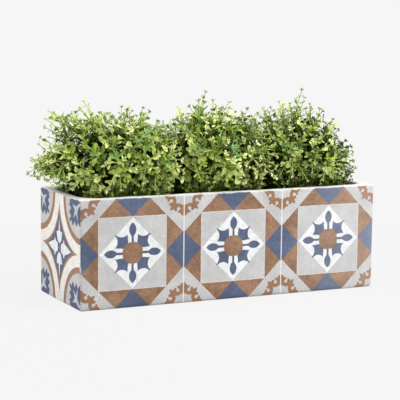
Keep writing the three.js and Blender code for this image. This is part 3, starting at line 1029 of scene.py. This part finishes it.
def leaf_object():
    """One closed thin leaf along X, folded a little at its midrib, with its blade's own measures."""
    stations = ((0.0, 0.0), (0.3, 0.17), (0.62, 0.46), (0.86, 0.42), (1.0, 0.0))
    shape = bmesh.new()
    sides = {-1: [], 1: []}
    middles = {-1: [], 1: []}
    for along, half in stations:
        x = along * LEAF_LENGTH
        droop = -LEAF_DROOP * along * along
        fold = half * LEAF_WIDTH * LEAF_FOLD
        tip = half == 0
        shared = shape.verts.new((x, 0, droop)) if tip else None
        for side in (-1, 1):
            edge = shared or shape.verts.new((x, side * half * LEAF_WIDTH, droop + fold))
            sides[side].append(edge)
            thickness = side * LEAF_THICKNESS / 2
            middles[side].append(shared or shape.verts.new((x, 0, droop + thickness)))
    for face in (-1, 1):
        for side in (-1, 1):
            for i in range(len(stations) - 1):
                corners = [middles[face][i], middles[face][i + 1], sides[side][i + 1], sides[side][i]]
                if face * side < 0:
                    corners.reverse()
                shape.faces.new(list(dict.fromkeys(corners)))
    bmesh.ops.recalc_face_normals(shape, faces=shape.faces)
    leaf = make_object("leaf", shape, None, 50)
    along = leaf.data.attributes.new("leaf_along", "FLOAT", "POINT")
    across = leaf.data.attributes.new("leaf_across", "FLOAT", "POINT")
    for vertex in leaf.data.vertices:
        along.data[vertex.index].value = vertex.co.x / LEAF_LENGTH
        across.data[vertex.index].value = abs(vertex.co.y) / (LEAF_WIDTH / 2)
    return leaf


def leafy_shoots(leaf, leaf_material, stem_material):
    """Geometry nodes that grow stems and pairs of leaves along the shoots of one plant."""
    tree = bpy.data.node_groups.new("leafy_shoots", "GeometryNodeTree")
    sizes = {}

    for name, kind in (
        ("Geometry", "Geometry"), ("Shoots", "Object"), ("Leaf Spacing", "Float"), ("Leaf Size", "Float"),
        ("Lowest X", "Float"), ("Highest X", "Float"), ("Seed", "Int"), ("Leaves Only", "Bool"),
    ):
        socket = tree.interface.new_socket(name, in_out="INPUT", socket_type=f"NodeSocket{kind}")
        sizes[name] = socket.identifier
    tree.interface.new_socket("Geometry", in_out="OUTPUT", socket_type="NodeSocketGeometry")
    given = add_node(tree, "NodeGroupInput").outputs

    def node(kind, inputs=(), **settings):
        return add_node(tree, f"GeometryNode{kind}", inputs, **settings)

    def chance(low, high, use):
        """A repeatable number for each point."""
        seed = Field(tree, given["Seed"]) + use
        draw = add_node(tree, "FunctionNodeRandomValue", {2: low, 3: high, "Seed": seed}, data_type="FLOAT")
        return Field(tree, draw.outputs[1])

    def remember(geometry, name, value, domain="POINT", kind="FLOAT"):
        """Stores a value on each point or curve under a name."""
        kept = {"Geometry": geometry, "Name": name, "Value": value}
        return node("StoreNamedAttribute", kept, data_type=kind, domain=domain).outputs[0]

    def recall(name):
        stored = node("InputNamedAttribute", {"Name": name}, data_type="FLOAT")
        return Field(tree, stored.outputs[0])

    def turned_by(rotation, axis, angle):
        step = add_node(tree, "FunctionNodeAxisAngleToRotation", {"Axis": axis, "Angle": angle})
        both = {"Rotation": rotation, "Rotate By": step.outputs[0]}
        return add_node(tree, "FunctionNodeRotateRotation", both, rotation_space="LOCAL").outputs[0]

    shoots = node("ObjectInfo", {"Object": given["Shoots"]}).outputs["Geometry"]
    shoots = remember(shoots, "twig_tint", chance(0.0, 1.0, 1), "CURVE")
    from_start = Field(tree, node("SplineParameter").outputs["Length"])
    whole = Field(tree, node("SplineLength").outputs["Length"])
    shoots = remember(shoots, "tip_distance", whole - from_start)

    ring = node("CurvePrimitiveCircle", {"Resolution": STEM_SIDES, "Radius": STEM_RADIUS})
    stems = node("CurveToMesh", {
        "Curve": shoots, "Profile Curve": ring.outputs[0], "Fill Caps": True,
        "Scale": node("InputRadius").outputs[0],
    })
    stems = node("SetMaterial", {"Geometry": stems.outputs[0], "Material": stem_material})

    spaced = node("ResampleCurve", {"Curve": shoots, "Length": given["Leaf Spacing"]}, mode="LENGTH")
    index = Field(tree, node("InputIndex").outputs[0])
    odd = index.math("MODULO", 2.0)
    spaced = remember(spaced.outputs[0], "pair_turn", odd * (math.pi / 2) + chance(-0.35, 0.35, 2))
    pairs = node("CurveToPoints", {"Curve": spaced}, mode="EVALUATED")
    points = remember(pairs.outputs["Points"], "stem_facing", pairs.outputs["Rotation"], kind="QUATERNION")
    at_tip = recall("tip_distance").between(0.002, 0.001)
    amount = at_tip * (TIP_LEAVES - 2) + 2
    some = node("DuplicateElements", {"Geometry": points, "Amount": amount}, domain="POINT")
    copy = Field(tree, some.outputs["Duplicate Index"])
    side_turn = recall("pair_turn") + copy * 2 * math.pi / amount
    leaves = remember(some.outputs["Geometry"], "side_turn", side_turn)
    leaves = remember(leaves, "leaf_tint", chance(0.0, 1.0, 3))

    tip_distance = recall("tip_distance")
    grown = tip_distance.between(0.0, 0.03)
    scale = (grown * 0.5 + 0.5) * chance(0.68, 1.18, 4) * (1 - at_tip * chance(0.0, 0.35, 7))
    scale = scale * Field(tree, given["Leaf Size"])
    lift = 0.98 - grown * 0.26 - tip_distance.between(0.03, 0.09) * 0.3 + chance(-0.4, 0.3, 5)
    stored = node("InputNamedAttribute", {"Name": "stem_facing"}, data_type="QUATERNION")
    facing = turned_by(stored.outputs[0], (0, 0, 1), recall("side_turn"))
    facing = turned_by(facing, (0, 1, 0), -lift)
    facing = turned_by(facing, (1, 0, 0), chance(-0.45, 0.45, 6))
    reach = add_node(tree, "FunctionNodeRotateVector", {"Vector": (LEAF_LENGTH, 0, 0), "Rotation": facing})
    reaches = split(tree, reach.outputs[0])
    roots = split(tree, node("InputPosition").outputs[0])
    low = Field(tree, given["Lowest X"])
    high = Field(tree, given["Highest X"])
    side = reaches[0].math("SIGN")
    strays = []
    for y in (roots[1], roots[1] + reaches[1]):
        strays.append((y * MEETING_TURNS).math("SINE") * MEETING_WANDER * side)
    stray = strays[0].least(strays[1])
    room = (high - low) * 0.5 - (roots[0] - (low + high) * 0.5) * side + stray - 0.001
    scale = scale.least(room / (abs(reaches[0]) + 0.0001))
    ends = [root + part * scale for root, part in zip(roots, reaches)]
    over_rim = ends[2].least(roots[2]) - (TROUGH_HEIGHT + RIM_CLEARANCE) - LEAF_RIM_GAP
    inside_x = TROUGH_LENGTH / 2 - WALL - INNER_CORNER
    inside_y = TROUGH_DEPTH / 2 - WALL - INNER_CORNER
    past_x = (abs(ends[0]).most(abs(roots[0])) - inside_x).most(0.0)
    past_y = (abs(ends[1]).most(abs(roots[1])) - inside_y).most(0.0)
    in_walls = INNER_CORNER - RIM_CLEARANCE - past_x.from_point(past_y, 0, 0)
    leafy = LEAFY_LENGTH - tip_distance
    clear = over_rim.most(in_walls - LEAF_RIM_GAP)
    chosen = (scale - SMALLEST_LEAF).least(clear).least(leafy).above(0.0)
    blade = node("ObjectInfo", {"Object": leaf}).outputs["Geometry"]
    leaves = node("InstanceOnPoints", {
        "Points": leaves, "Selection": chosen, "Instance": blade, "Rotation": facing, "Scale": scale,
    })
    leaves = node("SetMaterial", {"Geometry": leaves.outputs[0], "Material": leaf_material})
    wanted = node("Switch", {
        "Switch": given["Leaves Only"], "False": stems.outputs[0], "True": leaves.outputs[0],
    }, input_type="GEOMETRY")
    real = node("RealizeInstances", {"Geometry": wanted.outputs[0]})
    add_node(tree, "NodeGroupOutput", {0: real.outputs[0]})
    return tree, sizes


def make_plant(number, place, plant, growth):
    """One plant as two pieces, its stems and its leaves."""
    tree, sizes = growth
    shoots = shoots_object(plant, place)
    for part in ("stems", "leaves"):
        piece = make_object(f"box_plant_{place}_{part}", bmesh.new())
        grow = piece.modifiers.new("grow", "NODES")
        grow.node_group = tree
        values = {
            "Shoots": shoots, "Leaf Spacing": plant["leaf_spacing"], "Leaf Size": plant["leaf_size"],
            "Lowest X": plant["low"], "Highest X": plant["high"], "Seed": 100 * (number + 1),
            "Leaves Only": part == "leaves",
        }
        for name, value in values.items():
            grow[sizes[name]] = value
        settled(piece)
        smooth(piece.data, 55)
        dress(piece, f"potted_plant_{place}", f"plant_{place}")
    bpy.data.objects.remove(shoots)


def make_plants():
    plastic = pot_plastic()
    soil = potting_soil()
    leaf = leaf_object()
    growth = leafy_shoots(leaf, leaf_green(), stem_green())
    half = POT_SPACING / 2 - NEIGHBOUR_GAP / 2
    for number, (place, plant) in enumerate(PLANTS.items()):
        plant["x"] = (number - 1) * POT_SPACING
        plant["low"] = plant["x"] - (half if number else 2 * plant["spread"][0])
        plant["high"] = plant["x"] + (half if number < 2 else 2 * plant["spread"][1])
        make_pot(plant["x"], place, plastic)
        make_root_ball(plant["x"], place, soil)
        make_plant(number, place, plant, growth)
    bpy.data.objects.remove(leaf)


# Studio


def seen_directly(tree):
    """1 for rays that show the background itself: from the camera, a reflection or through glass."""
    path = add_node(tree, "ShaderNodeLightPath")
    seen = Field(tree, path.outputs["Is Camera Ray"])
    seen = seen.most(Field(tree, path.outputs["Is Glossy Ray"]))
    return seen.most(Field(tree, path.outputs["Is Transmission Ray"]))


def make_floor():
    """A wide pale floor that keeps a faint shadow and fades into the background."""
    shape = bmesh.new()
    bmesh.ops.create_grid(shape, x_segments=1, y_segments=1, size=FLOOR_HALF_WIDTH)
    floor = make_object("studio_floor", shape)
    surface = Surface("studio_floor", 0.9, 0.1)
    x, y, _ = surface.axes()
    distance = x.from_point(y, 0, 0)
    tree = surface.tree
    surface.shader.inputs["Base Color"].default_value = screen(196, 196, 196)
    glow = add_node(tree, "ShaderNodeEmission", {"Color": BACKGROUND, "Strength": 1.0})
    share = seen_directly(tree) * (distance.between(0.3, 1.0) * 0.07 + 0.93)
    shaders = {0: share, 1: surface.shader.outputs[0], 2: glow.outputs[0]}
    both = add_node(tree, "ShaderNodeMixShader", shaders)
    tree.links.new(both.outputs[0], tree.nodes["Material Output"].inputs["Surface"])
    floor.data.materials.append(surface.material)


def make_lamp(name, place, aim_height, width, power):
    data = bpy.data.lights.new(name, "AREA")
    data.shape = "SQUARE"
    data.size = width
    data.energy = power
    towards = Vector((0, 0, aim_height)) - Vector(place)
    turn = towards.to_track_quat("-Z", "Y").to_matrix().to_4x4()
    placed(name, data).matrix_world = Matrix.Translation(place) @ turn


def make_studio():
    scene = bpy.context.scene
    make_floor()
    world = bpy.data.worlds.new("studio")
    world.use_nodes = True
    tree = world.node_tree
    sky = tree.nodes["Background"]
    colours = {0: seen_directly(tree), 6: (1, 1, 1, 1), 7: BACKGROUND}
    colour = add_node(tree, "ShaderNodeMix", colours, data_type="RGBA")
    tree.links.new(colour.outputs[2], sky.inputs["Color"])
    strength = seen_directly(tree) * (1 - SKY_STRENGTH) + SKY_STRENGTH
    tree.links.new(strength.socket, sky.inputs["Strength"])
    scene.world = world
    for lamp in LAMPS:
        make_lamp(*lamp)
    scene.view_settings.view_transform = "Standard"


def make_camera():
    """The photograph's view: a long lens from the front left, a little above the rim."""
    data = bpy.data.cameras.new("photo_camera")
    data.sensor_width = CAMERA_SENSOR
    data.lens = CAMERA_LENS
    camera = placed("photo_camera", data)
    view = Matrix.Translation(CAMERA_PLACE)
    for angle, axis in ((CAMERA_TURN, "Z"), (90 - CAMERA_DROP, "X"), (CAMERA_ROLL, "Z")):
        view @= Matrix.Rotation(math.radians(angle), 4, axis)
    camera.matrix_world = view
    bpy.context.scene.camera = camera


make_camera()
make_studio()
make_trough()
rubber = plug_rubber()
make_plug(-1, "left", rubber)
make_plug(1, "right", rubber)
make_plants()
